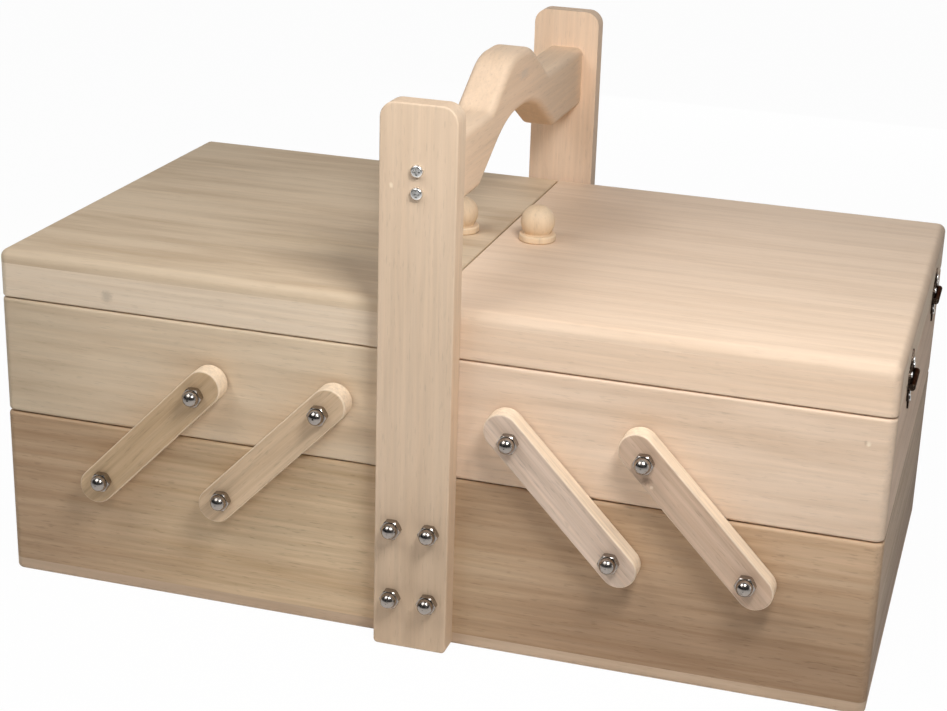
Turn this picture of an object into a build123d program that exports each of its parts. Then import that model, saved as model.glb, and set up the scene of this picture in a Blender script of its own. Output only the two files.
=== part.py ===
"""Wooden sewing carrier: one wide bottom box, two swing-out upper trays with hinged
lids, eight link arms on cap-nut bolts, and a bow handle between two posts.

Frame: millimetres, +Z up, X along the width, the front at -Y. The origin is the
centre of the footprint, on the surface that the box stands on.
"""
import os
from math import hypot, sqrt

from build123d import *

# ---------------------------------------------------------------- box and trays
case_width = 400.0          # outside width of the bottom box
case_depth = 220.0          # outside depth of the bottom box
base_height = 80.0          # bottom box, floor panel included
tray_height = 54.6          # each upper tray
lid_height = 22.0           # each lid, panel included
wall = 8.0                  # side boards of the box, the trays and the lids
base_floor = 6.0            # floor panel under the bottom box, its edge shows
tray_floor = 4.0            # floor panel between a tray's boards
lid_panel = 6.0             # top panel of a lid
seam_gap = 0.4              # between box and tray, and between tray and lid
side_gap = 0.4              # between a tray or lid and the post beside it
centre_gap = 0.8            # between the two trays, and between the two lids
corner_radius = 4.0         # upright outer corners, and a lid's top edges
rim_radius = 1.6            # rims of the bottom box and the trays
lid_rim_radius = 1.0        # lower edge of a lid
foot_radius = 2.0           # bottom edge of the floor panel
seam_edge = 0.5             # bevel along the seam between the two halves

# ---------------------------------------------------------------- posts and handle
post_width = 33.5
post_thick = 10.0
post_top_radius = 7.0
post_foot_radius = 2.0
post_edge_radius = 0.8
post_above_handle = 18.3    # from the top of the handle's foot to the post's top
hand_gap = 39.8             # from the lids' top to the underside of the handle's foot
handle_thick = 18.0
handle_edge_radius = 3.4
foot_height = 30.0          # the block at each end of the handle
crown_rise = 18.8           # crown of the bow above the foot's top
crown_half = 14.5           # half length of the flat crown, before rounding
crown_run = 31.0            # length over which the top climbs to the crown
crown_radius = 33.0
shoulder_radius = 11.5
arch_rise = 22.0            # hand hollow above the foot's underside
arch_half = 22.3
arch_run = 40.0
arch_radius = 72.0
heel_radius = 5.7

# ---------------------------------------------------------------- link arms
arm_width = 16.0
arm_thick = 9.6
arm_overhang = 13.25        # from a pivot to the nearer end of the arm
arm_edge_radius = 0.8
arm_gap = 0.4               # between an arm and the box wall
nut_gap = 0.3               # between an arm and its cap nut
pivot_clearance = 0.08      # radial, bolt in a swinging arm
pivot_drop = 22.0           # lower pivots, below the bottom box's rim
pivot_lift = 25.2           # upper pivots, above the tray's bottom edge
pivot_lean = 46.0           # sideways, from a lower pivot to its upper one
inner_pivot_x = 88.5        # lower pivot of the inner arms, from the centre
outer_pivot_inset = 53.25   # lower pivot of the outer arms, from the end of the case

# ---------------------------------------------------------------- fasteners
bolt_radius = 2.5
bolt_clearance = 0.05       # radial, bolt in a fixed board
bolt_head_radius = 4.5
bolt_head_height = 3.0
bolt_in_nut = 4.5
nut_across_flats = 8.0
nut_hex_height = 3.5
nut_dome_radius = 3.7
nut_height = 7.3
nut_bore_depth = 5.0
nut_bevel = 0.5
post_bolt_low = 24.0        # height of the lower pair of bolts in a post
post_bolt_rise = 33.5
post_bolt_pitch = 17.0
screw_radius = 1.75
screw_clearance = 0.05
screw_head_radius = 2.7
screw_head_height = 2.0
handle_screw_low = 11.4     # lower handle screw, above the underside of the foot
handle_screw_pitch = 9.4
handle_screw_grip = 22.0    # length of a handle screw inside the handle
head_round_share = 0.55     # rounding of a screw head, as a share of its height
tip_bevel_share = 0.3       # bevel at a screw's tip, as a share of its radius
cross_width_share = 0.33    # cross recess in a screw head, as shares of the head's
cross_length_share = 1.15   # radius and, for its depth, of its height
cross_depth_share = 0.55

# ---------------------------------------------------------------- knobs
knob_inset = 18.8           # knob axis, from the centre of the case
knob_flange_radius = 8.7
knob_flange_height = 3.4
knob_flange_edge = 0.9
knob_neck_radius = 6.2
knob_ball_radius = 8.0
knob_height = 17.0
knob_screw_grip = 9.0
knob_screw_head_radius = 3.4

# ---------------------------------------------------------------- hinges
hinge_y = 60.0              # each hinge's centre, in front of and behind the middle
hinge_width = 21.0
hinge_reach = 13.5          # from the pin to the pointed tip of a leaf
leaf_thick = 0.8
leaf_shoulder = 4.6         # height of a leaf's straight side, from the pin
leaf_waist_half = 4.2       # half width at the foot of the pointed tip
leaf_waist = 8.3            # height of the waist, from the pin
leaf_scallop = 1.0          # how far the curve from shoulder to waist is hollowed
leaf_tip_bow = 0.5          # how far the curve from waist to tip swells
leaf_tab = 0.6              # start of the tab that joins a knuckle to its leaf, from the pin
pin_offset = 1.9            # pin axis, out from the end boards
pin_radius = 0.7
pin_clearance = 0.05
knuckle_radius = 1.5
knuckle_middle = 7.6        # length of the tray leaf's middle knuckle
knuckle_gap = 0.3
hinge_screw_radius = 0.7
hinge_screw_head_radius = 1.3
hinge_screw_head_height = 0.6
hinge_screw_grip = 6.0
hinge_screw_half = 6.4      # the two screws beside the knuckle, from the middle
hinge_screw_low = 4.0       # their height from the pin
hinge_screw_tip = 8.6       # height of the screw near the tip

# ---------------------------------------------------------------- worked out
half_width = case_width / 2
half_depth = case_depth / 2
tray_bottom = base_height + seam_gap
tray_top = tray_bottom + tray_height
lid_bottom = tray_top + seam_gap
lid_top = lid_bottom + lid_height
seam_x = centre_gap / 2
tray_half_depth = half_depth - side_gap
lower_pivot_z = base_height - pivot_drop
upper_pivot_z = tray_bottom + pivot_lift
pivot_rise = upper_pivot_z - lower_pivot_z
pivot_distance = hypot(pivot_lean, pivot_rise)
arm_length = pivot_distance + 2 * arm_overhang
arm_face = half_depth + arm_gap
handle_foot_z = lid_top + hand_gap
handle_foot_top = handle_foot_z + foot_height
post_length = handle_foot_top + post_above_handle
hinge_z = tray_top + seam_gap / 2
leaf_edge = knuckle_radius + knuckle_gap
cut_slack = 1.0             # how far a cutting tool runs past the face that it cuts


def block(x0, x1, y0, y1, z0, z1):
    """Box given by its low and high corners."""
    centre = ((x0 + x1) / 2, (y0 + y1) / 2, (z0 + z1) / 2)
    return Pos(*centre) * Box(x1 - x0, y1 - y0, z1 - z0)


def outward(x, y, z, side):
    """Plane at a point of the front (side -1) or back (side 1), facing away from the box."""
    return Plane(origin=(x, y, z), x_dir=(1, 0, 0), z_dir=(0, side, 0))


def drill(radius, y0, y1, spots):
    """Round cutters along Y through the given (x, z) spots."""
    length = abs(y1 - y0) + 2 * cut_slack
    return [Pos(x, (y0 + y1) / 2, z) * Rot(90, 0, 0) * Cylinder(radius, length) for x, z in spots]


def turned(profile):
    """Solid of revolution about Z from the curves of an (r, z) outline."""
    return revolve(Plane.XZ * make_face(profile), Axis.Z)


# ---------------------------------------------------------------- fastener shapes
def cross_recess(head_radius, head_height):
    """Cross-shaped cutter for a screw head whose flat top lies head_height below z = 0."""
    span, width = head_radius * cross_length_share, head_radius * cross_width_share
    depth = head_height * cross_depth_share
    return [Pos(0, 0, -head_height) * Box(x, y, 2 * depth) for x, y in ((span, width), (width, span))]


def screw(radius, length, head_radius, head_height):
    """Pan-head screw or bolt along +Z: the head below z = 0, the shank above."""
    head = Pos(0, 0, -head_height / 2) * Cylinder(head_radius, head_height)
    head = fillet(head.edges().sort_by(Axis.Z)[0], head_height * head_round_share)
    head -= cross_recess(head_radius, head_height)
    shank = Pos(0, 0, length / 2) * Cylinder(radius, length)
    shank = chamfer(shank.edges().sort_by(Axis.Z)[-1], radius * tip_bevel_share)
    return head + shank


def cap_nut():
    """Hexagon nut with a closed dome along +Z, seated at z = 0, with its blind bore."""
    corner = nut_across_flats / sqrt(3)
    blank = Pos(0, 0, nut_hex_height / 2) * Cylinder(corner, nut_hex_height)
    blank = chamfer(blank.edges().filter_by(GeomType.CIRCLE), nut_bevel)
    hexagon = extrude(RegularPolygon(corner, 6), nut_hex_height) & blank
    r, dome_z = nut_dome_radius, nut_height - nut_dome_radius
    dome = turned([
        Polyline((0, 0), (r, 0), (r, dome_z)),
        CenterArc((0, dome_z), r, 0, 90),
        Line((0, nut_height), (0, 0)),
    ])
    bore = Cylinder(bolt_radius + bolt_clearance, 2 * nut_bore_depth)
    return hexagon + dome - bore


def bolt_row(spots, seat, grip):
    """Bolts through the front and back boards, heads inside, at the (x, z) spots."""
    bolt = screw(bolt_radius, grip, bolt_head_radius, bolt_head_height)
    return [outward(x, side * seat, z, side) * bolt for side in (-1, 1) for x, z in spots]


def nut_row(spots, seat):
    """Cap nuts outside the front and back, seated at the given distance from the middle."""
    return [outward(x, side * seat, z, side) * cap_nut() for side in (-1, 1) for x, z in spots]


# ---------------------------------------------------------------- where things go
def post_bolt_spots():
    """(x, z) of the four bolts that hold a post to the bottom box."""
    half = post_bolt_pitch / 2
    rows = (post_bolt_low, post_bolt_low + post_bolt_rise)
    return [(x, z) for z in rows for x in (-half, half)]


def handle_screw_spots():
    """(x, z) of the two screws from a post into the handle's foot."""
    low = handle_foot_z + handle_screw_low
    return [(0, low), (0, low + handle_screw_pitch)]


def lower_pivots():
    """(x, z) of the right half's lower pivots, the inner arm first."""
    return [(inner_pivot_x, lower_pivot_z), (half_width - outer_pivot_inset, lower_pivot_z)]


def upper_pivots():
    """(x, z) of the right half's upper pivots, the inner arm first."""
    return [(x - pivot_lean, upper_pivot_z) for x, z in lower_pivots()]


def hinge_screw_spots(up):
    """(y, z) of one leaf's screws, from the hinge's centre; up is 1 for the lid, -1 for the tray."""
    half = hinge_screw_half
    return [(-half, up * hinge_screw_low), (half, up * hinge_screw_low), (0, up * hinge_screw_tip)]


def hinge_pilot_holes(up):
    """Cutters for the hinge screws in the right end board of the tray or the lid."""
    depth = hinge_screw_grip + cut_slack
    hole = Rot(0, 90, 0) * Cylinder(hinge_screw_radius + screw_clearance, 2 * depth)
    return [
        Pos(half_width, y0 + y, hinge_z + z) * hole
        for y0 in (-hinge_y, hinge_y)
        for y, z in hinge_screw_spots(up)
    ]


# ---------------------------------------------------------------- bottom box
def base_parts():
    """Floor panel and four boards, cut from one block with rounded edges."""
    body = block(-half_width, half_width, -half_depth, half_depth, 0, base_height)
    body = fillet(body.edges().filter_by(Axis.Z), corner_radius)
    body = fillet(body.faces().sort_by(Axis.Z)[-1].edges(), rim_radius)
    body = fillet(body.faces().sort_by(Axis.Z)[0].edges(), foot_radius)
    w, d = half_width, half_depth
    parts = {
        "base_floor": body & block(-w, w, -d, d, 0, base_floor),
        "base_front_board": body & block(-w, w, -d, wall - d, base_floor, base_height),
        "base_back_board": body & block(-w, w, d - wall, d, base_floor, base_height),
        "base_left_board": body & block(-w, wall - w, wall - d, d - wall, base_floor, base_height),
        "base_right_board": body & block(w - wall, w, wall - d, d - wall, base_floor, base_height),
    }
    pivots = lower_pivots()
    spots = post_bolt_spots() + pivots + [(-x, z) for x, z in pivots]
    for name, side in (("base_front_board", -1), ("base_back_board", 1)):
        inside = side * (half_depth - wall)
        parts[name] -= drill(bolt_radius + bolt_clearance, inside, side * half_depth, spots)
    return parts


# ---------------------------------------------------------------- trays and lids
def half_block(z0, z1):
    """Square-edged block of the right half, and its two upright edges at the outer end."""
    body = block(seam_x, half_width, -tray_half_depth, tray_half_depth, z0, z1)
    return body, list(body.edges().filter_by(Axis.Z).sort_by(Axis.X)[2:])


def outer_rim(body, top):
    """Edges round the top or bottom face, without the one along the seam."""
    face = body.faces().sort_by(Axis.Z)[-1 if top else 0]
    return list(face.edges().sort_by(Axis.X)[1:])


def bevel_seam(body):
    """The body with a small bevel round its face at the seam."""
    return chamfer(body.faces().sort_by(Axis.X)[0].edges(), seam_edge)


def tray_parts():
    """Right tray: four boards, the floor between them, and their bolt and screw holes."""
    body, corners = half_block(tray_bottom, tray_top)
    body = fillet(corners, corner_radius)
    for top in (True, False):
        body = fillet(outer_rim(body, top), rim_radius)
    body = bevel_seam(body)
    x0, x1, d = seam_x, half_width, tray_half_depth
    z0, z1 = tray_bottom, tray_top
    inner, outer = x0 + wall, x1 - wall
    parts = {
        "tray_front_board": body & block(x0, x1, -d, wall - d, z0, z1),
        "tray_back_board": body & block(x0, x1, d - wall, d, z0, z1),
        "tray_inner_board": body & block(x0, inner, wall - d, d - wall, z0, z1),
        "tray_outer_board": body & block(outer, x1, wall - d, d - wall, z0, z1),
        "tray_floor": block(inner, outer, wall - d, d - wall, z0, z0 + tray_floor),
    }
    for name, side in (("tray_front_board", -1), ("tray_back_board", 1)):
        inside = side * (tray_half_depth - wall)
        cuts = drill(bolt_radius + bolt_clearance, inside, side * tray_half_depth, upper_pivots())
        parts[name] -= cuts
    parts["tray_outer_board"] -= hinge_pilot_holes(-1)
    return parts


def lid_parts():
    """Right lid: the top panel and a rim of four strips under it."""
    body, corners = half_block(lid_bottom, lid_top)
    body = fillet(corners + outer_rim(body, True), corner_radius)
    body = bevel_seam(fillet(outer_rim(body, False), lid_rim_radius))
    x0, x1, d = seam_x, half_width, tray_half_depth
    z0, z1 = lid_bottom, lid_top - lid_panel
    parts = {
        "lid_panel": body & block(x0, x1, -d, d, z1, lid_top),
        "lid_front_rim": body & block(x0, x1, -d, wall - d, z0, z1),
        "lid_back_rim": body & block(x0, x1, d - wall, d, z0, z1),
        "lid_inner_rim": body & block(x0, x0 + wall, wall - d, d - wall, z0, z1),
        "lid_outer_rim": body & block(x1 - wall, x1, wall - d, d - wall, z0, z1),
    }
    hole = Cylinder(screw_radius + screw_clearance, 2 * lid_panel + cut_slack)
    parts["lid_panel"] -= Pos(knob_inset, 0, lid_top) * hole
    parts["lid_outer_rim"] -= hinge_pilot_holes(1)
    return parts


def knob_parts():
    """Turned knob with a flange, and the screw that holds it from under the lid."""
    r, ball_z = knob_ball_radius, knob_height - knob_ball_radius
    neck_z = ball_z - sqrt(r ** 2 - knob_neck_radius ** 2)
    flange = Polyline(
        (0, 0), (knob_flange_radius, 0), (knob_flange_radius, knob_flange_height),
        (knob_neck_radius, knob_flange_height), (knob_neck_radius, neck_z),
    )
    ball = ThreePointArc((knob_neck_radius, neck_z), (r, ball_z), (0, knob_height))
    knob = turned([flange, ball, Line((0, knob_height), (0, 0))])
    rims = [e for e in knob.edges().filter_by(GeomType.CIRCLE) if e.radius > knob_flange_radius - 0.01]
    knob = fillet(rims, knob_flange_edge)
    knob -= Cylinder(screw_radius + screw_clearance, 2 * (knob_screw_grip + cut_slack))
    fixing = screw(
        screw_radius, lid_panel + knob_screw_grip, knob_screw_head_radius, screw_head_height
    )
    return {
        "knob": Pos(knob_inset, 0, lid_top) * knob,
        "knob_screw": Pos(knob_inset, 0, lid_top - lid_panel) * fixing,
    }


# ---------------------------------------------------------------- hinges
def leaf_plate(up):
    """Pointed leaf in the YZ plane, its back on x = 0; up is 1 for the lid, -1 for the tray."""
    half = hinge_width / 2
    curves = [Line((-half, leaf_edge), (half, leaf_edge))]
    for s in (-1, 1):
        shoulder, waist = (s * half, leaf_shoulder), (s * leaf_waist_half, leaf_waist)
        curves.append(Line((s * half, leaf_edge), shoulder))
        curves.append(SagittaArc(shoulder, waist, -s * leaf_scallop))
        curves.append(SagittaArc(waist, (0, hinge_reach), s * leaf_tip_bow))
    outline = make_face(curves)
    plate = extrude(Plane.YZ * outline, leaf_thick)
    plate -= [
        Pos(0, y, z) * Rot(0, 90, 0) * Cylinder(hinge_screw_radius + screw_clearance, 4 * leaf_thick)
        for y, z in hinge_screw_spots(1)
    ]
    return plate if up > 0 else mirror(plate, Plane.XY)


def knuckle_runs(up):
    """(y0, y1) of a leaf's knuckles: one in the middle on the tray, two outside on the lid."""
    half, middle = hinge_width / 2, knuckle_middle / 2
    if up < 0:
        return [(-middle, middle)]
    return [(-half, -middle - knuckle_gap), (middle + knuckle_gap, half)]


def leaf(up):
    """One hinge leaf with its knuckles, from the point on the board behind the pin."""
    part = leaf_plate(up)
    for y0, y1 in knuckle_runs(up):
        barrel = Rot(90, 0, 0) * Cylinder(knuckle_radius, y1 - y0)
        part += Pos(pin_offset, (y0 + y1) / 2, 0) * barrel
        low, high = sorted((up * leaf_tab, up * (leaf_edge + leaf_thick)))
        part += block(0, leaf_thick, y0, y1, low, high)
    bore = Rot(90, 0, 0) * Cylinder(pin_radius + pin_clearance, hinge_width + 2 * cut_slack)
    return part - Pos(pin_offset, 0, 0) * bore


def hinge_parts():
    """Both hinges of the right end: leaves, pins and screws."""
    spots = [Pos(half_width, y, hinge_z) for y in (-hinge_y, hinge_y)]
    pin = Rot(90, 0, 0) * Cylinder(pin_radius, hinge_width)
    fixing = Rot(0, -90, 0) * screw(
        hinge_screw_radius, hinge_screw_grip + leaf_thick,
        hinge_screw_head_radius, hinge_screw_head_height,
    )
    parts = {
        "hinge_tray_leaves": [spot * leaf(-1) for spot in spots],
        "hinge_lid_leaves": [spot * leaf(1) for spot in spots],
        "hinge_pins": [spot * Pos(pin_offset, 0, 0) * pin for spot in spots],
    }
    for name, up in (("hinge_tray_screws", -1), ("hinge_lid_screws", 1)):
        places = [spot * Pos(leaf_thick, y, z) for spot in spots for y, z in hinge_screw_spots(up)]
        parts[name] = [place * fixing for place in places]
    return parts


# ---------------------------------------------------------------- link arms
def arm():
    """Round-ended arm along X in the XY plane, its back at z = 0, bored at both pivots."""
    bar = extrude(SlotOverall(arm_length, arm_width), arm_thick)
    flats = bar.faces().filter_by(Axis.Z)
    bar = fillet([edge for face in flats for edge in face.edges()], arm_edge_radius)
    for x in (-pivot_distance / 2, pivot_distance / 2):
        bar -= Pos(x, 0, 0) * Cylinder(bolt_radius + pivot_clearance, 3 * arm_thick)
    return bar


def arm_parts():
    """The right half's four arms: inner and outer, at the front and at the back."""
    parts = {}
    for end, side in (("front", -1), ("back", 1)):
        for row, low, high in zip(("inner", "outer"), lower_pivots(), upper_pivots()):
            middle = ((low[0] + high[0]) / 2, side * arm_face, (low[1] + high[1]) / 2)
            along = (high[0] - low[0], 0, high[1] - low[1])
            place = Plane(origin=middle, x_dir=along, z_dir=(0, side, 0))
            parts[f"{end}_{row}_arm"] = place * arm()
    return parts


def upper_pivot_parts():
    """Bolts and cap nuts that join the right tray to its four arms."""
    inside = tray_half_depth - wall
    seat = arm_face + arm_thick + nut_gap
    return {
        "upper_pivot_bolts": bolt_row(upper_pivots(), inside, seat - inside + bolt_in_nut),
        "upper_pivot_nuts": nut_row(upper_pivots(), seat),
    }


def lower_pivot_parts():
    """Bolts and cap nuts that join all eight arms to the bottom box."""
    right = lower_pivots()
    spots = right + [(-x, z) for x, z in right]
    inside = half_depth - wall
    seat = arm_face + arm_thick + nut_gap
    return {
        "lower_pivot_bolts": bolt_row(spots, inside, seat - inside + bolt_in_nut),
        "lower_pivot_nuts": nut_row(spots, seat),
    }


# ---------------------------------------------------------------- posts and handle
def post(side):
    """Upright post against the front (side -1) or back (side 1) of the box."""
    body = block(-post_width / 2, post_width / 2, 0, post_thick, 0, post_length)
    corners = body.edges().filter_by(Axis.Y).sort_by(Axis.Z)
    body = fillet(corners[2:], post_top_radius)
    corners = body.edges().filter_by(Axis.Y).sort_by(Axis.Z)
    body = fillet(corners[:2], post_foot_radius)
    body = fillet(body.faces().sort_by(Axis.Y)[-1].edges(), post_edge_radius)
    body -= drill(bolt_radius + bolt_clearance, 0, post_thick, post_bolt_spots())
    body -= drill(screw_radius + screw_clearance, 0, post_thick, handle_screw_spots())
    body = Pos(0, half_depth, 0) * body
    return body if side > 0 else mirror(body, Plane.XZ)


def bow_line(foot_z, rise, flat_half, run, middle_radius, bend_radius):
    """Line in YZ from post to post: flat at the feet, up a slope, and flat in the middle."""
    half = [(half_depth, foot_z), (flat_half + run, foot_z), (flat_half, foot_z + rise)]
    points = [(-y, z) for y, z in half] + half[::-1]
    return FilletPolyline(*points, radius=[bend_radius, middle_radius, middle_radius, bend_radius])


def handle():
    """Bow handle between the posts: its outline in YZ, with rounded long edges."""
    top = bow_line(handle_foot_top, crown_rise, crown_half, crown_run, crown_radius, shoulder_radius)
    low = bow_line(handle_foot_z, arch_rise, arch_half, arch_run, arch_radius, heel_radius)
    ends = [Line(low @ end, top @ end) for end in (0, 1)]
    bar = extrude(Plane.YZ * make_face([top, low, *ends]), handle_thick / 2, both=True)
    sides = [e for face in bar.faces().filter_by(Axis.X) for e in face.edges()]
    bar = fillet([e for e in sides if abs(e.center().Y) < half_depth - 1e-3], handle_edge_radius)
    for side in (-1, 1):
        inner_end = side * (half_depth - handle_screw_grip)
        bar -= drill(screw_radius + screw_clearance, inner_end, side * half_depth, handle_screw_spots())
    return bar


def handle_screws():
    """Two screws through each post into the handle."""
    length = post_thick + handle_screw_grip
    fixing = screw(screw_radius, length, screw_head_radius, screw_head_height)
    seat = half_depth + post_thick
    return [
        outward(x, side * seat, z, -side) * fixing for side in (-1, 1) for x, z in handle_screw_spots()
    ]


# ---------------------------------------------------------------- whole carrier
def right_half():
    """Everything that the right half has, by name without its side."""
    parts = {}
    for group in (
        tray_parts, lid_parts, knob_parts, hinge_parts, arm_parts, upper_pivot_parts,
    ):
        parts.update(group())
    return parts


def fixed_parts():
    """Everything that stands still: the bottom box, the posts, the handle, their fasteners."""
    parts = base_parts()
    parts["front_post"] = post(-1)
    parts["back_post"] = post(1)
    parts["handle"] = handle()
    parts["handle_screws"] = handle_screws()
    seat = half_depth + post_thick
    inside = half_depth - wall
    parts["post_bolts"] = bolt_row(post_bolt_spots(), inside, seat - inside + bolt_in_nut)
    parts["post_cap_nuts"] = nut_row(post_bolt_spots(), seat)
    parts.update(lower_pivot_parts())
    return parts


def solids_of(part):
    """The separate solids of a sub-part, whether it is one shape or a list of them."""
    shapes = part if isinstance(part, list) else [part]
    return [solid for shape in shapes for solid in shape.solids()]


def save(name, solids):
    """Write one sub-part's solids to its own file."""
    export_step(Compound(solids), f"parts/{name}.step")


os.makedirs("parts", exist_ok=True)
for name, part in fixed_parts().items():
    save(name, solids_of(part))
for name, part in right_half().items():
    solids = solids_of(part)
    save(f"right_{name}", solids)
    save(f"left_{name}", [mirror(solid, Plane.YZ) for solid in solids])
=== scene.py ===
# %% [markdown]
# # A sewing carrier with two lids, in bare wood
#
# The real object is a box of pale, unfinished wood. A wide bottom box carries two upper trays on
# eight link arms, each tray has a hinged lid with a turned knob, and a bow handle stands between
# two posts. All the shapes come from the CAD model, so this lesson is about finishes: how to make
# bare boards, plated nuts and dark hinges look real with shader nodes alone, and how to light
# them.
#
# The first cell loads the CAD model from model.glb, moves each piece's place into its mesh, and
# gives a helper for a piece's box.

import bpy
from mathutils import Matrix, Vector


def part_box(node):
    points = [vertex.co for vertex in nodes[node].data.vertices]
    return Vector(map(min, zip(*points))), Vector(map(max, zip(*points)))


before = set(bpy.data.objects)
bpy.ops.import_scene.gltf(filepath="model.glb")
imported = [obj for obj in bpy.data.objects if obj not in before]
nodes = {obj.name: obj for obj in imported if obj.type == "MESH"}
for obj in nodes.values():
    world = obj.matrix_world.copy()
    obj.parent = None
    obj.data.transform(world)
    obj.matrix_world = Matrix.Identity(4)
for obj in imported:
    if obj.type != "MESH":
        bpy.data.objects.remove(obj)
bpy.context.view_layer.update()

from math import atan2, radians

import bpy
import numpy as np
from mathutils import Vector

print("pieces", len(nodes))

# %% [markdown]
# ## Small helpers for node trees
#
# A material is a graph of nodes. Built by hand in the editor it takes many clicks. In code, a few
# helpers keep it readable. `add` makes a node, sets its options and fills its sockets with values
# or with links from other nodes. `math`, `scaled`, `ramp` and `mix` are the nodes that come back
# most often. `group` makes a reusable box of nodes with named sockets, for effects that several
# materials share.

# %% Helpers for node trees
def add(tree, kind, inputs=None, **options):
    """A new node of this kind. inputs maps a socket's name or number to a value or to an output to
    link."""
    made = tree.nodes.new("ShaderNode" + kind)
    for name, value in options.items():
        setattr(made, name, value)
    for key, value in (inputs or {}).items():
        if isinstance(value, bpy.types.NodeSocket):
            tree.links.new(value, made.inputs[key])
        else:
            made.inputs[key].default_value = value
    return made


def math(tree, operation, *values):
    """The output of a Math node: operation on one, two or three values."""
    return add(tree, "Math", dict(enumerate(values)), operation=operation).outputs[0]


def vector_math(tree, operation, *values):
    """The output of a Vector Math node: a number for a length, and a vector for everything else."""
    made = add(tree, "VectorMath", dict(enumerate(values)), operation=operation)
    return made.outputs["Value" if operation == "LENGTH" else "Vector"]


def scaled(tree, vector, factor):
    """vector times one number."""
    return add(tree, "VectorMath", {0: vector, "Scale": factor}, operation="SCALE").outputs[0]


def ramp(tree, value, low, high, to_low=0.0, to_high=1.0):
    """value mapped smoothly from the range low..high to the range to_low..to_high, and held at its
    ends."""
    sockets = {0: value, 1: low, 2: high, 3: to_low, 4: to_high}
    return add(tree, "MapRange", sockets, interpolation_type="SMOOTHSTEP").outputs[0]


def mix(tree, factor, a, b, how="MIX"):
    """Colour a mixed with colour b by factor."""
    return add(tree, "Mix", {0: factor, 6: a, 7: b}, data_type="RGBA", blend_type=how).outputs[2]


def group(name, inputs, outputs):
    """An empty node group with these sockets, and its input and output nodes. A number as a default
    makes a number socket, three of them a vector, four of them a colour."""
    tree = bpy.data.node_groups.new(name, "ShaderNodeTree")
    kinds = {1: "NodeSocketFloat", 3: "NodeSocketVector", 4: "NodeSocketColor"}
    for title, default in inputs.items():
        width = len(default) if isinstance(default, tuple) else 1
        socket = tree.interface.new_socket(title, in_out="INPUT", socket_type=kinds[width])
        socket.default_value = default
    for title, width in outputs.items():
        tree.interface.new_socket(title, in_out="OUTPUT", socket_type=kinds[width])
    return tree, tree.nodes.new("NodeGroupInput").outputs, tree.nodes.new("NodeGroupOutput").inputs


print("helpers ready")

# %% [markdown]
# ## Grain, as if cut from a log
#
# A board shows grain because it is a slice of a log. The growth rings are tubes round the tree's
# heart, and a flat cut through them gives long bands that lean and wander. A picture of wood
# would not turn the corner from the top of a lid to its front. A solid pattern does, so this
# group works in space: X runs along the grain, and the distance from the X axis counts the rings.
#
# Four things live on top of the rings: streaks, soft darker bands that come and go along the
# board; fibres, which are hair-thin and very long; pores, which are short dark dashes; and a slow
# drift in tone. Each one is a noise squeezed across the grain: its squeeze says how many times a
# metre it changes along the grain, and how many times to the two sides.

# %% Group: grain
DRIFT_SQUEEZE = (2.6, 13, 13)
FIBRE_SQUEEZE = (20, 620, 620)
PORE_SQUEEZE = (150, 1300, 1300)
STREAKS_ALONG = 10.0


def make_grain():
    """Masks of a solid log whose heart is the X axis, in metres.
    Rings: noise of (distance from the heart / ring spacing), after the point is pushed sideways
    by a slow noise. Streaks: noise of (STREAKS_ALONG * along, across / streak width). Fibres and
    Pores: the same with their own squeezes. Drift: the slow noise. A noise stays mostly between
    0.3 and 0.7, so a ramp spreads the part of it that shows."""
    tree, given, out = group(
        "grain",
        {"Position": (0.0, 0.0, 0.0), "Ring Spacing": 0.006, "Waviness": 0.006,
         "Streak Width": 0.004},
        {"Rings": 1, "Streaks": 1, "Fibres": 1, "Pores": 1, "Drift": 1},
    )

    def noise(point, squeeze, detail, roughness):
        """A noise of the point times its squeeze."""
        return add(tree, "TexNoise", {"Vector": vector_math(tree, "MULTIPLY", point, squeeze),
                                      "Scale": 1, "Detail": detail, "Roughness": roughness}).outputs

    slow = noise(given["Position"], DRIFT_SQUEEZE, 2, 0.5)
    push = vector_math(tree, "SUBTRACT", slow["Color"], (0.5, 0.5, 0.5))
    push = scaled(tree, vector_math(tree, "MULTIPLY", push, (0, 1, 1)), given["Waviness"])
    bent = vector_math(tree, "ADD", given["Position"], push)
    radius = vector_math(tree, "LENGTH", vector_math(tree, "MULTIPLY", bent, (0, 1, 1)))
    count = math(tree, "DIVIDE", radius, given["Ring Spacing"])
    rings = add(tree, "TexNoise", {"W": count, "Scale": 1, "Detail": 2, "Roughness": 0.5},
                noise_dimensions="1D").outputs
    across = math(tree, "DIVIDE", 1.0, given["Streak Width"])
    streak_squeeze = add(tree, "CombineXYZ", {0: STREAKS_ALONG, 1: across, 2: across}).outputs[0]
    streaks = noise(bent, streak_squeeze, 4, 0.6)
    fibres = noise(bent, FIBRE_SQUEEZE, 3, 0.6)
    pores = noise(bent, PORE_SQUEEZE, 1, 0.5)
    tree.links.new(ramp(tree, rings["Fac"], 0.32, 0.68), out["Rings"])
    tree.links.new(ramp(tree, streaks["Fac"], 0.36, 0.72), out["Streaks"])
    tree.links.new(fibres["Fac"], out["Fibres"])
    tree.links.new(ramp(tree, pores["Fac"], 0.60, 0.74), out["Pores"])
    tree.links.new(slow["Fac"], out["Drift"])
    return tree


grain = make_grain()
print("group", grain.name, "with", len(grain.nodes), "nodes")
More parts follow.
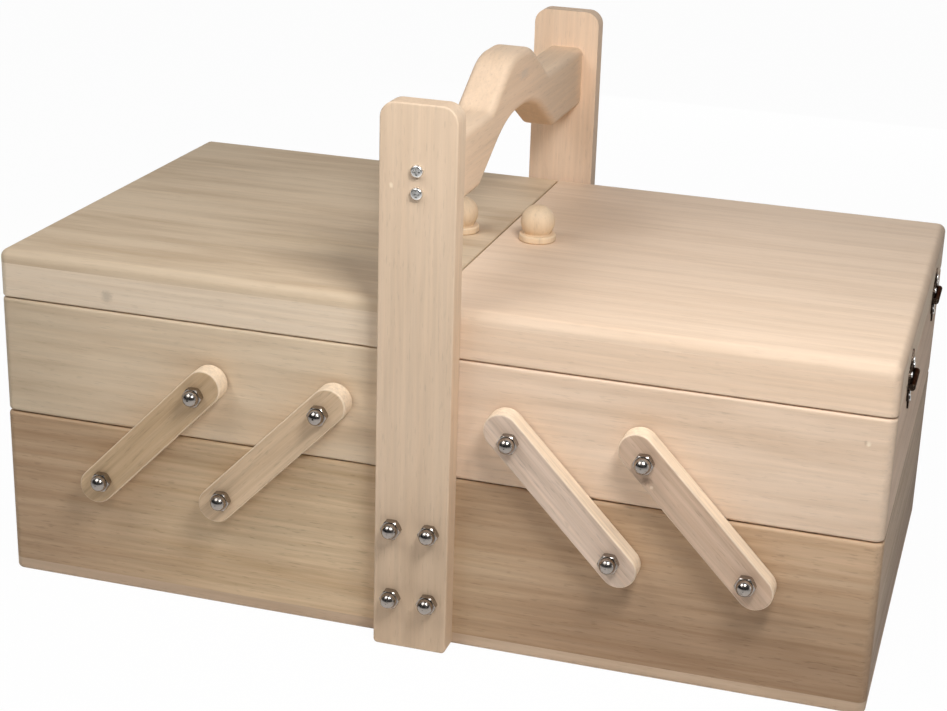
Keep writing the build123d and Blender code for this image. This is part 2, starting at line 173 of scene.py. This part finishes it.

# %% [markdown]
# ## Which way a face looks
#
# Bare wood changes with the face. Sanded round edges are paler, partly because the sandpaper opens
# fresh wood there and partly as a painted highlight, as if every round edge caught the light; end
# grain drinks dirt and looks darker. Both can be read from the normal in the board's own
# directions: on a flat face one of its three parts is 1 and the others 0, and on a rounded edge
# none of them is near 1. A third mask finds the narrow sides of a strip whose broad faces look
# along Y, as the link arms have.

# %% Group: faces
def make_faces():
    """Rounded: 1 - the largest part of the normal, spread from 0 on a flat face to 1 on a round
    edge. End: the part of the normal that lies along the grain, which is X here. Side: 1 where the
    normal has little along Y."""
    tree, given, out = group("faces", {"Normal": (0.0, 0.0, 1.0)},
                             {"Rounded": 1, "End": 1, "Side": 1})
    parts = add(tree, "SeparateXYZ", {0: vector_math(tree, "ABSOLUTE", given["Normal"])}).outputs
    largest = math(tree, "MAXIMUM", math(tree, "MAXIMUM", parts[0], parts[1]), parts[2])
    tree.links.new(ramp(tree, largest, 0.995, 0.80), out["Rounded"])
    tree.links.new(ramp(tree, parts[0], 0.55, 0.95), out["End"])
    tree.links.new(ramp(tree, parts[1], 0.92, 0.55), out["Side"])
    return tree


faces = make_faces()
print("group", faces.name, "with", len(faces.nodes), "nodes")

# %% [markdown]
# ## From masks to the colour of a bare board
#
# One more group turns the masks into what the shader needs. Two wood colours are mixed by the
# rings and streaks, and the fibres, pores and drift make that a little lighter or darker. The
# height is for a Bump node: the soft wood between fibres is sanded away a few hundredths of a
# millimetre deeper, and the pores are open. It is what breaks up the light on a bare surface.

# %% Group: bare board
END_GRAIN = 0.55            # how far end grain goes to the dark colour
SMOOTHEST = 0.55            # roughness of bare wood where it is smoothest
FIBRE_ROUGHNESS, PORE_ROUGHNESS = 0.16, 0.12
PORE_DEPTH = 0.7            # depth of a pore, where a fibre is 1 high


def make_board():
    """Color: mix(Pale, Dark, Rings and Streaks by their strengths), mixed with Dark on end grain
    and with Edge on rounded edges and narrow sides, times 1 + Fibre Strength * (Fibres - 1/2)
    + Drift Strength * (Drift - 1/2) - Pore Strength * Pores.
    Roughness: SMOOTHEST, and more on fibres and pores, which makes about 0.63.
    Height: Fibres - PORE_DEPTH * Pores."""
    tree, given, out = group(
        "bare board",
        {"Rings": 0.0, "Streaks": 0.0, "Fibres": 0.5, "Pores": 0.0, "Drift": 0.5,
         "Rounded": 0.0, "End": 0.0, "Side": 0.0, "Pale": (0.8, 0.62, 0.45, 1.0),
         "Dark": (0.66, 0.49, 0.34, 1.0), "Edge": (0.86, 0.70, 0.52, 1.0),
         "Ring Strength": 0.4, "Streak Strength": 0.5, "Fibre Strength": 0.2, "Pore Strength": 0.1,
         "Drift Strength": 0.2, "Edge Strength": 0.6, "Side Strength": 0.0},
        {"Color": 4, "Roughness": 1, "Height": 1},
    )
    bands = math(tree, "MULTIPLY", given["Streaks"], given["Streak Strength"])
    bands = math(tree, "MULTIPLY_ADD", given["Rings"], given["Ring Strength"], bands)
    color = mix(tree, bands, given["Pale"], given["Dark"])
    color = mix(tree, math(tree, "MULTIPLY", given["End"], END_GRAIN), color, given["Dark"])
    # Paler round edges and narrow sides: sanding, and a painted highlight.
    sanded = math(tree, "MULTIPLY", given["Rounded"], given["Edge Strength"])
    narrow = math(tree, "MULTIPLY", given["Side"], given["Side Strength"])
    color = mix(tree, math(tree, "MAXIMUM", sanded, narrow), color, given["Edge"])
    shade = 1.0
    for mask, strength in (("Fibres", "Fibre Strength"), ("Drift", "Drift Strength")):
        change = math(tree, "SUBTRACT", given[mask], 0.5)
        shade = math(tree, "MULTIPLY_ADD", change, given[strength], shade)
    dashes = math(tree, "MULTIPLY", given["Pores"], given["Pore Strength"])
    tree.links.new(scaled(tree, color, math(tree, "SUBTRACT", shade, dashes)), out["Color"])
    rough = math(tree, "MULTIPLY_ADD", given["Fibres"], FIBRE_ROUGHNESS, SMOOTHEST)
    rough = math(tree, "MULTIPLY_ADD", given["Pores"], PORE_ROUGHNESS, rough)
    tree.links.new(rough, out["Roughness"])
    height = math(tree, "MULTIPLY_ADD", given["Pores"], -PORE_DEPTH, given["Fibres"])
    tree.links.new(height, out["Height"])
    return tree


board = make_board()
print("group", board.name, "with", len(board.nodes), "nodes")

# %% [markdown]
# ## Small marks
#
# The boards have a few marks that make them believable: a faint knot, a dent, a nick and some torn
# grain. A mark is a soft spot round a point: the distance from the point, in units of its size,
# with a ragged edge from a noise. A large one without the noise tints a part of a board darker or
# lighter, and that is painted shade or painted light.

# %% Group: mark
RAGGED_SCALE = 900          # how many times a metre a mark's ragged edge changes


def make_mark():
    """Mask: 1 at Centre, falling to 0 at a distance of one Size from it, after the distance is
    changed by Ragged * (a fine noise - 1/2)."""
    tree, given, out = group(
        "mark",
        {"Position": (0.0, 0.0, 0.0), "Centre": (0.0, 0.0, 0.0), "Size": (0.003, 0.003, 0.003),
         "Ragged": 0.6},
        {"Mask": 1},
    )
    offset = vector_math(tree, "SUBTRACT", given["Position"], given["Centre"])
    away = vector_math(tree, "LENGTH", vector_math(tree, "DIVIDE", offset, given["Size"]))
    noise = add(tree, "TexNoise", {"Vector": given["Position"], "Scale": RAGGED_SCALE, "Detail": 2})
    frayed = math(tree, "SUBTRACT", noise.outputs["Fac"], 0.5)
    reach = math(tree, "MULTIPLY_ADD", frayed, given["Ragged"], away)
    tree.links.new(ramp(tree, reach, 1.0, 0.2), out["Mask"])
    return tree


mark = make_mark()
print("group", mark.name, "with", len(mark.nodes), "nodes")

# %% [markdown]
# ## The tones and the cuts
#
# No two boards of the real box have quite the same colour, so each kind of board has its own mean
# tone: the bottom box is the brownest, and the right lid is paler than the left one. A cut says
# how the grain shows on a board: how far apart the rings and streaks are in metres, and how
# strong each mask is. The left lid has broad bands, the posts are calm, and the arms are rough.

# %% Tones and cuts
tones = {
    "left_lid": (0.675, 0.522, 0.365), "right_lid": (0.822, 0.625, 0.463),
    "left_rim": (0.779, 0.627, 0.472), "right_rim": (0.788, 0.588, 0.429),
    "left_tray": (0.710, 0.557, 0.396), "right_tray": (0.760, 0.575, 0.428),
    "lid_end": (0.880, 0.670, 0.500), "tray_end": (0.770, 0.562, 0.415),
    "base": (0.469, 0.315, 0.196), "base_end": (0.520, 0.378, 0.265),
    "panel": (0.560, 0.410, 0.290), "handle": (0.809, 0.599, 0.424),
    "post": (0.724, 0.544, 0.389), "back_post": (0.832, 0.614, 0.441),
    "left_inner_arm": (0.653, 0.473, 0.310), "left_outer_arm": (0.552, 0.387, 0.233),
    "right_inner_arm": (0.700, 0.535, 0.420), "right_outer_arm": (0.567, 0.403, 0.291),
    "knob": (0.793, 0.604, 0.412),
}
PALER = np.array((0.065, 0.085, 0.10))      # the pale wood, as a share over the mean tone
DARKER = np.array((0.11, 0.14, 0.18))       # the dark wood, as a share under it
SANDED_AND_SHEEN = np.array((1.04, 1.06, 1.08))       # paler round edges, from sanding and a painted highlight, times the mean tone
CREAM = (0.90, 0.74, 0.56)                  # the arms' edges and narrow sides, from sanding and a painted highlight
PALEST = 0.92                               # no wood is paler than this in any colour
cuts = {
    "broad": dict(spacing=0.016, streak_width=0.0110, ring=0.16, streak=0.85, fibre=0.20, pore=0.06,
                  drift=0.14, contrast=1.3),
    "thin": dict(spacing=0.012, streak_width=0.0060, ring=0.10, streak=0.55, fibre=0.14, pore=0.05,
                 drift=0.14, sanded=(0.690, 0.520, 0.380)),
    "plain": dict(spacing=0.010, streak_width=0.0075, ring=0.22, streak=0.75, fibre=0.26, pore=0.08,
                  drift=0.22),
    "fine": dict(spacing=0.005, streak_width=0.0030, ring=0.16, streak=0.45, fibre=0.24, pore=0.07,
                 drift=0.20, contrast=1.2),
    "rough": dict(spacing=0.004, streak_width=0.0022, ring=0.30, streak=0.60, fibre=0.55, pore=0.14,
                  drift=0.30),
    "strong": dict(spacing=0.008, streak_width=0.0045, ring=0.24, streak=0.62, fibre=0.42,
                   pore=0.16, drift=0.44, contrast=1.9),
    "calm": dict(spacing=0.010, streak_width=0.0050, ring=0.10, streak=0.40, fibre=0.26, pore=0.08,
                 drift=0.20, contrast=0.8),
}
print("tones", sorted(tones), "and cuts", sorted(cuts))

# %% [markdown]
# ## One material for each board
#
# Every board is cut from another place in the log, so every board gets its own material, with the
# groups above inside. A Mapping node set to Texture does the cutting: its location is where the
# tree's heart passes, its rotation turns X along the grain. Near the heart the face shows broad
# arches, far from it straight lines.
#
# The Principled BSDF stays in the material itself. Values that are the same all over, such as the
# specular level, are typed on its own sockets.

# %% Materials: wood
GRAIN_ALONG = {"x": (0.0, 0.0, 0.0), "y": (0.0, 0.0, radians(90)), "z": (0.0, radians(-90), 0.0)}
WOOD_RELIEF = 0.00012       # height of the fibres, in metres, at full strength
WOOD_BUMP = 0.35            # how much of that height the light shows
MARK_DEPTH = 2.0            # depth of a ragged mark, where a fibre is 1 high
WOOD_SPECULAR = 0.28


def wood(name, tone, cut, heart, turn, marks=(), **changes):
    """A bare wood for one board. tone: the name of its mean colour. heart: a point of the log's
    middle line in metres. turn: the rotation that lays X along the grain. marks: (centre, size,
    colour, how strong, how ragged) for each mark on the board; one that isn't ragged multiplies the
    wood's colour, so its grain stays. changes: numbers that replace those of its cut.
    Pale = mean * (1 + contrast * PALER), Dark = mean * (1 - contrast * DARKER)."""
    look = dict(contrast=1.0) | cuts[cut] | changes
    mean = np.array(tones[tone])
    colors = {"Pale": mean * (1 + look["contrast"] * PALER),
              "Dark": mean * (1 - look["contrast"] * DARKER),
              "Edge": look.get("sanded", mean * SANDED_AND_SHEEN)}
    material = bpy.data.materials.new(name)
    material.use_nodes = True
    tree = material.node_tree
    shader = tree.nodes["Principled BSDF"]
    coordinates = add(tree, "TexCoord").outputs
    place = add(tree, "Mapping", {"Vector": coordinates["Object"], "Location": heart,
                                  "Rotation": turn}, vector_type="TEXTURE").outputs[0]
    looks = add(tree, "Mapping", {"Vector": coordinates["Normal"], "Rotation": turn},
                vector_type="TEXTURE").outputs[0]
    log = add(tree, "Group", {"Position": place, "Ring Spacing": look["spacing"],
                              "Streak Width": look["streak_width"]}, node_tree=grain)
    side = add(tree, "Group", {"Normal": looks}, node_tree=faces)
    given = {socket.name: socket for source in (log, side) for socket in source.outputs}
    given |= {socket: (*np.minimum(color, PALEST), 1.0) for socket, color in colors.items()}
    given |= {mask.title() + " Strength": look[mask] for mask in
              ("ring", "streak", "fibre", "pore", "drift", "side") if mask in look}
    bare = add(tree, "Group", given, node_tree=board)
    color, height = bare.outputs["Color"], bare.outputs["Height"]
    for centre, size, mark_color, strength, ragged in marks:
        spot = add(tree, "Group", {"Position": coordinates["Object"], "Centre": centre,
                                   "Size": size, "Ragged": ragged}, node_tree=mark).outputs["Mask"]
        color = mix(tree, math(tree, "MULTIPLY", spot, strength), color, (*mark_color, 1.0),
                    "MIX" if ragged else "MULTIPLY")
        if ragged:
            height = math(tree, "MULTIPLY_ADD", spot, -MARK_DEPTH * strength, height)
    tree.links.new(color, shader.inputs["Base Color"])
    tree.links.new(bare.outputs["Roughness"], shader.inputs["Roughness"])
    bump = add(tree, "Bump", {"Height": height, "Strength": WOOD_BUMP, "Distance": WOOD_RELIEF})
    tree.links.new(bump.outputs["Normal"], shader.inputs["Normal"])
    shader.inputs["Specular IOR Level"].default_value = WOOD_SPECULAR
    return material


finished = set()


def finish(node, material):
    """Gives a CAD node one material in all its slots."""
    slots = nodes[node].data.materials
    slots.clear()
    slots.append(material)
    finished.add(node)


print("wood ready")

# %% [markdown]
# ## Cutting the boards
#
# A table says, for each kind of board, its tone and which way its grain runs. Makers lay the
# grain along the longest side, because wood is strong that way and hardly shrinks: along X in the
# fronts, backs and lids, along Y in the ends and the handle, up in the posts. The heart's
# distance and side come from a seeded generator, so that each board differs but each run gives
# the same boards.

# %% Boards of the boxes, the lids, the posts and the handle
chance = np.random.default_rng(7)


def heart_of(node, axis, near=0.05, far=0.13):
    """A point near which the log's heart passes: off the board's middle by near..far across the
    grain, in a random direction, and anywhere along it."""
    low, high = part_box(node)
    away = chance.uniform(near, far)
    angle = chance.uniform(0, 2 * np.pi)
    offset = {"x": (0, np.cos(angle), np.sin(angle)), "y": (np.cos(angle), 0, np.sin(angle)),
              "z": (np.cos(angle), np.sin(angle), 0)}[axis]
    along = chance.uniform(1, 3)
    point = (low + high) / 2 + Vector(offset) * away
    point["xyz".index(axis)] += along
    return tuple(point)


boards = {
    "base_front_board": ("base", "strong", "x"), "base_back_board": ("base", "strong", "x"),
    "base_left_board": ("base_end", "strong", "y"), "base_right_board": ("base_end", "strong", "y"),
    "base_floor": ("panel", "plain", "x"), "front_post": ("post", "calm", "z"),
    "back_post": ("back_post", "calm", "z"), "handle": ("handle", "calm", "y"),
}
for half, lid_cut in (("left", "broad"), ("right", "thin")):
    lid, rim, tray = f"{half}_lid", f"{half}_rim", f"{half}_tray"
    boards |= {
        f"{tray}_front_board": (tray, "plain", "x"), f"{tray}_back_board": (tray, "plain", "x"),
        f"{tray}_inner_board": (tray, "plain", "y"),
        f"{tray}_outer_board": ("tray_end", "plain", "y"),
        f"{tray}_floor": ("panel", "plain", "x"), f"{lid}_panel": (lid, lid_cut, "x"),
        f"{lid}_front_rim": (rim, "fine", "x"), f"{lid}_back_rim": (rim, "fine", "x"),
        f"{lid}_inner_rim": (rim, "fine", "y"), f"{lid}_outer_rim": ("lid_end", "fine", "y"),
        f"{half}_knob": ("knob", "calm", "z"),
    }
print("boards listed", len(boards))

# %% [markdown]
# ## Painted shade, painted light and damage on the boards
#
# The bottom box and both posts are darker towards their foot: painted shade. Painted shadows of the
# front post, the handle and the right knob lie on the boards beside them. The left lid has a paler
# streak near its front, painted stronger as light over the shadow of the post, and parts of the
# bottom box and the side of the handle are painted lighter: painted light. These are tints: wide
# marks that change the tone and leave the grain.
# Where a tint has to fade along one direction only, its size in the others is EVERYWHERE, far
# larger than the box. The small marks are a knot or damage, so they have a ragged edge and a
# depth too.

# %% Finishes of the boards
EVERYWHERE = 9.0


def tint(centre, size, change, strength=0.9):
    """A soft mark that multiplies the wood's colour by change; here each one is painted shade or
    painted light.
    """
    return centre, size, change, strength, 0.0


# Painted shade: the bottom box is darker towards its foot, where less light falls.
painted_foot_shade = tint((0.0, 0.0, 0.0), (EVERYWHERE, EVERYWHERE, 0.060), (0.72, 0.68, 0.66), 0.8)
marks = {
    "base_front_board": [
        # painted light: paler on the left part
        tint((-0.060, -0.110, 0.045), (0.130, EVERYWHERE, 0.140), (1.27, 1.38, 1.41), 1.0),
        # painted light: paler along the top near the right end
        tint((0.190, -0.110, 0.090), (0.080, EVERYWHERE, 0.045), (1.28, 1.30, 1.34)),
        # painted shade: darker at the foot on the right
        tint((0.140, -0.110, 0.000), (0.180, EVERYWHERE, 0.065), (0.72, 0.68, 0.66)),
        # painted shade beside the front post, near the top
        tint((0.028, -0.110, 0.072), (0.050, EVERYWHERE, 0.032), (0.82, 0.78, 0.75))],
    "base_back_board": [painted_foot_shade], "base_left_board": [painted_foot_shade], "base_right_board": [painted_foot_shade],
    "left_tray_front_board": [
        # painted shade: darker towards the left end
        tint((-0.210, -0.110, 0.100), (0.070, EVERYWHERE, EVERYWHERE), (0.86, 0.86, 0.85))],
    "left_lid_front_rim": [     # a faint knot
        ((-0.147, -0.110, 0.142), (0.004, 0.004, 0.004), (0.42, 0.34, 0.26), 0.45, 0.6)],
    "front_post": [             # painted shade, darker towards the foot, and a small pale dent beside the screws
        tint((0.0, 0.0, 0.0), (EVERYWHERE, EVERYWHERE, 0.110), (0.80, 0.78, 0.75)),
        ((-0.0112, -0.120, 0.2108), (0.0012, 0.001, 0.0016), (0.93, 0.76, 0.56), 0.9, 0.6)],
    # painted shade on the lower part of the back post, under the handle
    "back_post": [tint((0.0, 0.0, 0.130), (EVERYWHERE, EVERYWHERE, 0.090), (0.84, 0.86, 0.88))],
    "left_lid_panel": [
        # painted shadow of the right knob beside the seam
        tint((-0.003, 0.018, 0.153), (0.018, 0.034, EVERYWHERE), (0.78, 0.74, 0.70), 0.8),
        # a paler streak, painted stronger as light over the shadow of the post and handle
        tint((-0.055, -0.046, 0.153), (0.065, 0.020, EVERYWHERE), (1.16, 1.17, 1.16))],
    "right_lid_panel": [
        # painted shadow of the handle beside the right knob
        tint((0.034, 0.045, 0.153), (0.050, 0.048, EVERYWHERE), (0.84, 0.81, 0.78))],
    "handle": [                 # torn grain on the bow, and painted light on its right side
        ((0.009, 0.002, 0.235), (0.0035, 0.010, 0.0035), (0.62, 0.50, 0.40), 0.55, 1.6),
        tint((0.009, 0.0, 0.215), (0.004, 0.050, 0.045), (1.10, 1.09, 1.09), 1.0)],
    "right_tray_front_board": [     # a nick: a dark side and a pale side
        ((0.1884, -0.110, 0.1236), (0.0011, 0.001, 0.0016), (0.45, 0.32, 0.23), 0.6, 0.6),
        ((0.1897, -0.110, 0.1234), (0.0014, 0.001, 0.0021), (0.92, 0.78, 0.60), 0.9, 0.6)],
}
for node, (tone, cut, axis) in boards.items():
    heart = heart_of(node, axis)
    finish(node, wood(node, tone, cut, heart, GRAIN_ALONG[axis], marks.get(node, ())))
print("boards finished", len(finished), "of them with marks", len(marks))

# %% [markdown]
# ## The link arms
#
# The arms are short strips with their grain along their length, which is sloped at rest. The angle
# comes from the two pivots that each arm joins. Their faces have greyed, and the cream edge colour
# is used on everything that doesn't look to the front or the back: paler from sanding, and a
# painted highlight, as if every narrow side caught the light. One arm has some torn grain near its
# upper end.

# %% Link arms
low_pivot, high_pivot = (0.0885, 0.0580), (0.0425, 0.1056)
slope = atan2(high_pivot[1] - low_pivot[1], low_pivot[0] - high_pivot[0])
torn = [((0.1022, -0.120, 0.0973), (0.0034, 0.002, 0.0026), (0.34, 0.23, 0.16), 0.85, 1.2),
        ((0.1044, -0.120, 0.0948), (0.0010, 0.001, 0.0012), (0.86, 0.70, 0.54), 0.60, 1.0)]
for half, side in (("left", -1), ("right", 1)):
    for face in ("front", "back"):
        for row in ("inner", "outer"):
            node = f"{half}_{face}_{row}_arm"
            heart = heart_of(node, "x", near=0.03, far=0.06)
            finish(node, wood(node, f"{half}_{row}_arm", "rough", heart, (0.0, side * slope, 0.0),
                              torn if node == "right_front_outer_arm" else (),
                              side=0.85, sanded=CREAM))
print("arms slope", round(np.degrees(slope), 1), "degrees")

# %% [markdown]
# ## Metal
#
# The cap nuts are nickel plated and turned smooth, the screws are bright steel, and the hinges
# are coloured dark brown with the colour rubbed off where hands and the lid touch. On bare metal
# the colour belongs to the reflection, so Metallic is 1 and the base colour is the metal's tint.
# What makes it read as metal is the roughness: fine scratches and dull patches from handling.
#
# Seen at a low angle, every metal mirrors nearly all the light, whatever its colour. The brown on
# the hinges is a coating that doesn't, so their Specular Tint holds that reflection back.

# %% Group: handled metal
SCRATCH_SQUEEZE = (700, 700, 6000)


def make_handled():
    """Dull: patches of slow noise. Scratches: fine noise squeezed along one direction. Worn: the
    patches again, kept to where they are strongest."""
    tree, given, out = group("handled metal", {"Position": (0.0, 0.0, 0.0), "Patch Size": 0.004},
                             {"Dull": 1, "Scratches": 1, "Worn": 1})
    patchy = scaled(tree, given["Position"], math(tree, "DIVIDE", 1.0, given["Patch Size"]))
    patches = add(tree, "TexNoise", {"Vector": patchy, "Scale": 1, "Detail": 3, "Roughness": 0.6})
    brushed = vector_math(tree, "MULTIPLY", given["Position"], SCRATCH_SQUEEZE)
    fine = add(tree, "TexNoise", {"Vector": brushed, "Scale": 1, "Detail": 2})
    tree.links.new(ramp(tree, patches.outputs["Fac"], 0.35, 0.70), out["Dull"])
    tree.links.new(ramp(tree, fine.outputs["Fac"], 0.50, 0.72), out["Scratches"])
    tree.links.new(ramp(tree, patches.outputs["Fac"], 0.56, 0.68), out["Worn"])
    return tree


handled = make_handled()
print("group", handled.name, "with", len(handled.nodes), "nodes")

# %% [markdown]
# ## The nuts, bolts, hinges and screws
#
# Four metals share that group, each with its own colours, roughness and size of patch. The names
# of the nodes say which one a piece gets.

# %% Materials: metal
METAL_RELIEF = 0.00005      # depth of a scratch, in metres, at full strength
SCRATCH_DULLNESS = 0.3      # how dull a scratch is, where a dull patch is 1


def metal(name, color, worn_color, smooth, rough, patch=0.004, bump=0.1, glancing=(1.0, 1.0, 1.0)):
    """A metal whose colour goes to worn_color where it is worn, with roughness from smooth to
    rough. glancing: how much of each colour it mirrors at a low angle."""
    material = bpy.data.materials.new(name)
    material.use_nodes = True
    tree = material.node_tree
    shader = tree.nodes["Principled BSDF"]
    wear = add(tree, "Group", {"Position": add(tree, "TexCoord").outputs["Object"],
                               "Patch Size": patch}, node_tree=handled).outputs
    base_color = mix(tree, wear["Worn"], (*color, 1.0), (*worn_color, 1.0))
    tree.links.new(base_color, shader.inputs["Base Color"])
    dull = math(tree, "MULTIPLY_ADD", wear["Scratches"], SCRATCH_DULLNESS, wear["Dull"])
    tree.links.new(ramp(tree, dull, 0.0, 1.2, smooth, rough), shader.inputs["Roughness"])
    relief = add(tree, "Bump", {"Height": wear["Scratches"], "Strength": bump,
                                "Distance": METAL_RELIEF})
    tree.links.new(relief.outputs["Normal"], shader.inputs["Normal"])
    shader.inputs["Metallic"].default_value = 1.0
    shader.inputs["Specular Tint"].default_value = (*glancing, 1.0)
    return material


nickel = metal("nickel_nuts", (0.37, 0.335, 0.305), (0.30, 0.27, 0.24), 0.18, 0.28, bump=0.03)
zinc = metal("zinc_bolts", (0.55, 0.55, 0.55), (0.42, 0.42, 0.42), 0.28, 0.45)
bronze = metal("antique_hinges", (0.048, 0.034, 0.025), (0.20, 0.155, 0.12), 0.30, 0.50,
               patch=0.0012, bump=0.5, glancing=(0.34, 0.27, 0.22))
steel = metal("bright_screws", (0.82, 0.81, 0.79), (0.62, 0.60, 0.57), 0.20, 0.36)
metal_of = {"nuts": nickel, "bolts": zinc, "leaves": bronze, "pins": bronze, "screw": steel}
for node in nodes:
    for word, material in metal_of.items():
        if word in node:
            finish(node, material)
print("pieces left without a finish:", sorted(set(nodes) - finished))

# %% [markdown]
# ## The floor and the white background
#
# The photograph has a pure white background. Turning the lamps up until the floor clips would
# also bleach the wood. Instead the floor and the world are white only for rays that come straight
# from the camera, or after a reflection, which the Light Path node tells. The floor keeps a share
# of its real shading, so the box still stands in its own soft shadow. Behind the camera the
# studio is dim: the nuts mirror it, and that gives each dome its dark band between the white
# floor and the lamps.

# %% Floor and world
FLOOR_HALF = 4.0            # metres
FLOOR_WHITE = 0.975         # the rest of the floor's brightness is real light and shadow
FLOOR_MIRRORED = 0.35       # how white the floor is in a mirror
ROOM_LIGHT = 0.08
corners = [(-FLOOR_HALF, -FLOOR_HALF, 0), (FLOOR_HALF, -FLOOR_HALF, 0),
           (FLOOR_HALF, FLOOR_HALF, 0), (-FLOOR_HALF, FLOOR_HALF, 0)]
floor_mesh = bpy.data.meshes.new("floor")
floor_mesh.from_pydata(corners, [], [(0, 1, 2, 3)])
floor = bpy.data.objects.new("floor", floor_mesh)
bpy.context.scene.collection.objects.link(floor)


def seen_ray(tree, mirrored):
    """1 for rays from the camera or through glass, mirrored for rays off a mirror, 0 for light that
    bounces."""
    path = add(tree, "LightPath").outputs
    seen = math(tree, "MAXIMUM", path["Is Camera Ray"], path["Is Transmission Ray"])
    return math(tree, "MAXIMUM", seen, math(tree, "MULTIPLY", path["Is Glossy Ray"], mirrored))


paper = bpy.data.materials.new("floor_paper")
paper.use_nodes = True
tree = paper.node_tree
tree.nodes.remove(tree.nodes["Principled BSDF"])
position = add(tree, "TexCoord").outputs["Object"]
speck = add(tree, "TexNoise", {"Vector": position, "Scale": 60, "Detail": 3})
pale = mix(tree, speck.outputs["Fac"], (0.93, 0.93, 0.93, 1), (0.97, 0.97, 0.97, 1))
matte = add(tree, "BsdfDiffuse", {"Color": pale}).outputs[0]
white = add(tree, "Emission", {"Color": (1, 1, 1, 1), "Strength": 1.0}).outputs[0]
share = math(tree, "MULTIPLY", seen_ray(tree, FLOOR_MIRRORED), FLOOR_WHITE)
blended = add(tree, "MixShader", {0: share, 1: matte, 2: white}).outputs[0]
tree.links.new(blended, tree.nodes["Material Output"].inputs["Surface"])
floor_mesh.materials.append(paper)

world = bpy.data.worlds.new("studio")
bpy.context.scene.world = world
world.use_nodes = True
tree = world.node_tree
tree.nodes.clear()
direction = add(tree, "SeparateXYZ", {0: add(tree, "TexCoord").outputs["Generated"]}).outputs
to_backdrop = ramp(tree, direction[1], -0.10, 0.25)
walls = mix(tree, ramp(tree, direction[2], 0.1, 0.9), (0.30, 0.32, 0.34, 1), (1.0, 1.0, 1.0, 1))
room = add(tree, "Background", {"Color": walls, "Strength": ROOM_LIGHT}).outputs[0]
backdrop = add(tree, "Background", {"Color": (1, 1, 1, 1), "Strength": 1.0}).outputs[0]
blended = add(tree, "MixShader", {0: seen_ray(tree, to_backdrop), 1: room, 2: backdrop}).outputs[0]
tree.links.new(blended, add(tree, "OutputWorld").inputs["Surface"])
print("floor", 2 * FLOOR_HALF, "m wide; world ready")

# %% [markdown]
# ## Lamps
#
# In the photograph the right lid is far brighter than the left one, and the light fades quickly
# down the fronts. Light that fades so quickly comes from near by: the main lamp is a small soft
# box only half a metre away, above the right front corner. It also draws the shadows of the post
# and the arms, which fall to the left and down with soft edges. A wider one from the upper left
# opens them. Two weak ones stand low, level with the lids, so that they reach the right end and
# the back and leave the tops alone. An area lamp's light on a surface is its power times the
# cosine over pi and the distance squared. The powers are low enough that no pale board turns
# white.

# %% Lamps
def soft_box(name, place, aim, size, power):
    """A square, white area lamp at place, facing aim, that the camera doesn't see. size is its side
    in metres, power is in watts."""
    lamp = bpy.data.lights.new(name, "AREA")
    lamp.shape, lamp.size, lamp.energy = "SQUARE", size, power
    lamp_object = bpy.data.objects.new(name, lamp)
    lamp_object.location = place
    lamp_object.visible_camera = False
    lamp_object.rotation_mode = "QUATERNION"
    lamp_object.rotation_quaternion = (Vector(aim) - Vector(place)).to_track_quat("-Z", "Y")
    bpy.context.scene.collection.objects.link(lamp_object)


soft_box("key_lamp", (0.22, -0.34, 0.50), (0.0, -0.03, 0.10), size=0.16, power=1.90)
soft_box("fill_lamp", (-0.37, -0.48, 0.80), (0.0, -0.03, 0.10), size=0.45, power=2.90)
soft_box("side_lamp", (1.00, -0.10, 0.18), (0.0, -0.03, 0.14), size=0.40, power=0.50)
soft_box("back_lamp", (0.0, 1.00, 0.12), (0.0, 0.0, 0.09), size=0.60, power=1.70)
print("lamps", [lamp.name for lamp in bpy.data.lights])

# %% [markdown]
# ## The camera
#
# The camera stands where the photographer's stood: in front, to the right and above. Its place,
# angles and focal length were worked out from the box's corners and the nuts. The shift moves the
# picture in the frame without turning the camera. The Standard view shows a colour as it is
# written.

# %% Camera
camera = bpy.data.objects.new("camera", bpy.data.cameras.new("camera"))
bpy.context.scene.collection.objects.link(camera)
camera.location = (0.24196, -0.82954, 0.41863)
camera.rotation_euler = (radians(69.677), radians(-2.301), radians(15.801))
camera.data.sensor_width = 36.0
camera.data.lens = 72.652
camera.data.shift_x, camera.data.shift_y = -0.06574, -0.00261
camera.data.clip_start, camera.data.clip_end = 0.01, 50.0
bpy.context.scene.camera = camera
bpy.context.scene.view_settings.view_transform = "Standard"
print("camera at", [round(value, 3) for value in camera.location], "lens", camera.data.lens, "mm")
